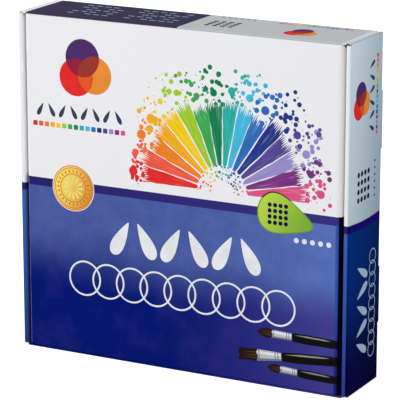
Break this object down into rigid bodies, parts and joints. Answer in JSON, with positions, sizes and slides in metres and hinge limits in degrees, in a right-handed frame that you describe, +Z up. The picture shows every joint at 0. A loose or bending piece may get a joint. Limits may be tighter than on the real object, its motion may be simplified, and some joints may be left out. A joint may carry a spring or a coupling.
{
  "type": "gouache paint box",
  "caption": "Flat printed carton with a hinged tuck lid, holding screw-cap jars of gouache in a square grid.",
  "frame": {"origin": "middle of the carton's footprint, on the outer face of its front wall", "axes": "+Z up towards the hinged edge, +Y towards the back, +X to the right of someone who faces the lid"},
  "size_m": [0.16, 0.033, 0.1526],
  "materials": {
    "printed_board": "white-lined board, printed and coated outside, grey-brown inside",
    "jar_plastic": "clear, slightly milky moulded plastic",
    "cap_plastic": "white moulded plastic with fine ribs",
    "liner_foam": "closed-cell foam disc",
    "gouache": "thick opaque paint, one colour in each jar"
  },
  "bodies": {
    "tray": {"base_panel": "printed_board", "front_wall": "printed_board", "hinge_wall": "printed_board", "left_side_wall": "printed_board", "right_side_wall": "printed_board", "front_wall_dust_flaps": "printed_board", "hinge_wall_dust_flaps": "printed_board", "jar_01": "jar_plastic", "jar_02": "jar_plastic", "jar_03": "jar_plastic", "jar_04": "jar_plastic", "jar_05": "jar_plastic", "jar_06": "jar_plastic", "jar_07": "jar_plastic", "jar_08": "jar_plastic", "jar_09": "jar_plastic", "jar_10": "jar_plastic", "jar_11": "jar_plastic", "jar_12": "jar_plastic", "jar_13": "jar_plastic", "jar_14": "jar_plastic", "jar_15": "jar_plastic", "jar_16": "jar_plastic", "gouache_fills": "gouache"},
    "lid": {"lid_panel": "printed_board", "left_lid_ear": "printed_board", "right_lid_ear": "printed_board"},
    "tuck_flap": {"tuck_flap": "printed_board"},
    "cap_lift_01": {"cap_liner_01": "liner_foam"},
    "cap_01": {"cap_01": "cap_plastic"},
    "cap_lift_02": {"cap_liner_02": "liner_foam"},
    "cap_02": {"cap_02": "cap_plastic"},
    "cap_lift_03": {"cap_liner_03": "liner_foam"},
    "cap_03": {"cap_03": "cap_plastic"},
    "cap_lift_04": {"cap_liner_04": "liner_foam"},
    "cap_04": {"cap_04": "cap_plastic"},
    "cap_lift_05": {"cap_liner_05": "liner_foam"},
    "cap_05": {"cap_05": "cap_plastic"},
    "cap_lift_06": {"cap_liner_06": "liner_foam"},
    "cap_06": {"cap_06": "cap_plastic"},
    "cap_lift_07": {"cap_liner_07": "liner_foam"},
    "cap_07": {"cap_07": "cap_plastic"},
    "cap_lift_08": {"cap_liner_08": "liner_foam"},
    "cap_08": {"cap_08": "cap_plastic"},
    "cap_lift_09": {"cap_liner_09": "liner_foam"},
    "cap_09": {"cap_09": "cap_plastic"},
    "cap_lift_10": {"cap_liner_10": "liner_foam"},
    "cap_10": {"cap_10": "cap_plastic"},
    "cap_lift_11": {"cap_liner_11": "liner_foam"},
    "cap_11": {"cap_11": "cap_plastic"},
    "cap_lift_12": {"cap_liner_12": "liner_foam"},
    "cap_12": {"cap_12": "cap_plastic"},
    "cap_lift_13": {"cap_liner_13": "liner_foam"},
    "cap_13": {"cap_13": "cap_plastic"},
    "cap_lift_14": {"cap_liner_14": "liner_foam"},
    "cap_14": {"cap_14": "cap_plastic"},
    "cap_lift_15": {"cap_liner_15": "liner_foam"},
    "cap_15": {"cap_15": "cap_plastic"},
    "cap_lift_16": {"cap_liner_16": "liner_foam"},
    "cap_16": {"cap_16": "cap_plastic"}
  },
  "joints": [
    {"name": "lid_hinge", "type": "hinge", "parent": "tray", "child": "lid", "pos_m": [0, -0.0162, 0.1523], "axis": [-1, 0, 0], "range_deg": [0, 180]},
    {"name": "tuck_fold", "type": "hinge", "parent": "lid", "child": "tuck_flap", "pos_m": [0, -0.0162, 0.0012], "axis": [-1, 0, 0], "range_deg": [0, 90]},
    {"name": "cap_01_rise", "type": "slide", "parent": "tray", "child": "cap_lift_01", "axis": [0, -1, 0], "range_m": [0, 0.00226]},
    {"name": "cap_01_turn", "type": "hinge", "parent": "cap_lift_01", "child": "cap_01", "pos_m": [-0.05685, 0.0157, 0.133], "axis": [0, -1, 0], "range_deg": [0, 270]},
    {"name": "cap_02_rise", "type": "slide", "parent": "tray", "child": "cap_lift_02", "axis": [0, -1, 0], "range_m": [0, 0.00226]},
    {"name": "cap_02_turn", "type": "hinge", "parent": "cap_lift_02", "child": "cap_02", "pos_m": [-0.01895, 0.0157, 0.133], "axis": [0, -1, 0], "range_deg": [0, 270]},
    {"name": "cap_03_rise", "type": "slide", "parent": "tray", "child": "cap_lift_03", "axis": [0, -1, 0], "range_m": [0, 0.00226]},
    {"name": "cap_03_turn", "type": "hinge", "parent": "cap_lift_03", "child": "cap_03", "pos_m": [0.01895, 0.0157, 0.133], "axis": [0, -1, 0], "range_deg": [0, 270]},
    {"name": "cap_04_rise", "type": "slide", "parent": "tray", "child": "cap_lift_04", "axis": [0, -1, 0], "range_m": [0, 0.00226]},
    {"name": "cap_04_turn", "type": "hinge", "parent": "cap_lift_04", "child": "cap_04", "pos_m": [0.05685, 0.0157, 0.133], "axis": [0, -1, 0], "range_deg": [0, 270]},
    {"name": "cap_05_rise", "type": "slide", "parent": "tray", "child": "cap_lift_05", "axis": [0, -1, 0], "range_m": [0, 0.00226]},
    {"name": "cap_05_turn", "type": "hinge", "parent": "cap_lift_05", "child": "cap_05", "pos_m": [-0.05685, 0.0157, 0.096], "axis": [0, -1, 0], "range_deg": [0, 270]},
    {"name": "cap_06_rise", "type": "slide", "parent": "tray", "child": "cap_lift_06", "axis": [0, -1, 0], "range_m": [0, 0.00226]},
    {"name": "cap_06_turn", "type": "hinge", "parent": "cap_lift_06", "child": "cap_06", "pos_m": [-0.01895, 0.0157, 0.096], "axis": [0, -1, 0], "range_deg": [0, 270]},
    {"name": "cap_07_rise", "type": "slide", "parent": "tray", "child": "cap_lift_07", "axis": [0, -1, 0], "range_m": [0, 0.00226]},
    {"name": "cap_07_turn", "type": "hinge", "parent": "cap_lift_07", "child": "cap_07", "pos_m": [0.01895, 0.0157, 0.096], "axis": [0, -1, 0], "range_deg": [0, 270]},
    {"name": "cap_08_rise", "type": "slide", "parent": "tray", "child": "cap_lift_08", "axis": [0, -1, 0], "range_m": [0, 0.00226]},
    {"name": "cap_08_turn", "type": "hinge", "parent": "cap_lift_08", "child": "cap_08", "pos_m": [0.05685, 0.0157, 0.096], "axis": [0, -1, 0], "range_deg": [0, 270]},
    {"name": "cap_09_rise", "type": "slide", "parent": "tray", "child": "cap_lift_09", "axis": [0, -1, 0], "range_m": [0, 0.00226]},
    {"name": "cap_09_turn", "type": "hinge", "parent": "cap_lift_09", "child": "cap_09", "pos_m": [-0.05685, 0.0157, 0.059], "axis": [0, -1, 0], "range_deg": [0, 270]},
    {"name": "cap_10_rise", "type": "slide", "parent": "tray", "child": "cap_lift_10", "axis": [0, -1, 0], "range_m": [0, 0.00226]},
    {"name": "cap_10_turn", "type": "hinge", "parent": "cap_lift_10", "child": "cap_10", "pos_m": [-0.01895, 0.0157, 0.059], "axis": [0, -1, 0], "range_deg": [0, 270]},
    {"name": "cap_11_rise", "type": "slide", "parent": "tray", "child": "cap_lift_11", "axis": [0, -1, 0], "range_m": [0, 0.00226]},
    {"name": "cap_11_turn", "type": "hinge", "parent": "cap_lift_11", "child": "cap_11", "pos_m": [0.01895, 0.0157, 0.059], "axis": [0, -1, 0], "range_deg": [0, 270]},
    {"name": "cap_12_rise", "type": "slide", "parent": "tray", "child": "cap_lift_12", "axis": [0, -1, 0], "range_m": [0, 0.00226]},
    {"name": "cap_12_turn", "type": "hinge", "parent": "cap_lift_12", "child": "cap_12", "pos_m": [0.05685, 0.0157, 0.059], "axis": [0, -1, 0], "range_deg": [0, 270]},
    {"name": "cap_13_rise", "type": "slide", "parent": "tray", "child": "cap_lift_13", "axis": [0, -1, 0], "range_m": [0, 0.00226]},
    {"name": "cap_13_turn", "type": "hinge", "parent": "cap_lift_13", "child": "cap_13", "pos_m": [-0.05685, 0.0157, 0.022], "axis": [0, -1, 0], "range_deg": [0, 270]},
    {"name": "cap_14_rise", "type": "slide", "parent": "tray", "child": "cap_lift_14", "axis": [0, -1, 0], "range_m": [0, 0.00226]},
    {"name": "cap_14_turn", "type": "hinge", "parent": "cap_lift_14", "child": "cap_14", "pos_m": [-0.01895, 0.0157, 0.022], "axis": [0, -1, 0], "range_deg": [0, 270]},
    {"name": "cap_15_rise", "type": "slide", "parent": "tray", "child": "cap_lift_15", "axis": [0, -1, 0], "range_m": [0, 0.00226]},
    {"name": "cap_15_turn", "type": "hinge", "parent": "cap_lift_15", "child": "cap_15", "pos_m": [0.01895, 0.0157, 0.022], "axis": [0, -1, 0], "range_deg": [0, 270]},
    {"name": "cap_16_rise", "type": "slide", "parent": "tray", "child": "cap_lift_16", "axis": [0, -1, 0], "range_m": [0, 0.00226]},
    {"name": "cap_16_turn", "type": "hinge", "parent": "cap_lift_16", "child": "cap_16", "pos_m": [0.05685, 0.0157, 0.022], "axis": [0, -1, 0], "range_deg": [0, 270]}
  ],
  "couplings": [
    {"joint": "tuck_fold", "follows": "lid_hinge", "ratio": 0.5},
    {"joint": "cap_01_rise", "follows": "cap_01_turn", "m_per_rad": 0.00047746},
    {"joint": "cap_02_rise", "follows": "cap_02_turn", "m_per_rad": 0.00047746},
    {"joint": "cap_03_rise", "follows": "cap_03_turn", "m_per_rad": 0.00047746},
    {"joint": "cap_04_rise", "follows": "cap_04_turn", "m_per_rad": 0.00047746},
    {"joint": "cap_05_rise", "follows": "cap_05_turn", "m_per_rad": 0.00047746},
    {"joint": "cap_06_rise", "follows": "cap_06_turn", "m_per_rad": 0.00047746},
    {"joint": "cap_07_rise", "follows": "cap_07_turn", "m_per_rad": 0.00047746},
    {"joint": "cap_08_rise", "follows": "cap_08_turn", "m_per_rad": 0.00047746},
    {"joint": "cap_09_rise", "follows": "cap_09_turn", "m_per_rad": 0.00047746},
    {"joint": "cap_10_rise", "follows": "cap_10_turn", "m_per_rad": 0.00047746},
    {"joint": "cap_11_rise", "follows": "cap_11_turn", "m_per_rad": 0.00047746},
    {"joint": "cap_12_rise", "follows": "cap_12_turn", "m_per_rad": 0.00047746},
    {"joint": "cap_13_rise", "follows": "cap_13_turn", "m_per_rad": 0.00047746},
    {"joint": "cap_14_rise", "follows": "cap_14_turn", "m_per_rad": 0.00047746},
    {"joint": "cap_15_rise", "follows": "cap_15_turn", "m_per_rad": 0.00047746},
    {"joint": "cap_16_rise", "follows": "cap_16_turn", "m_per_rad": 0.00047746}
  ]
}
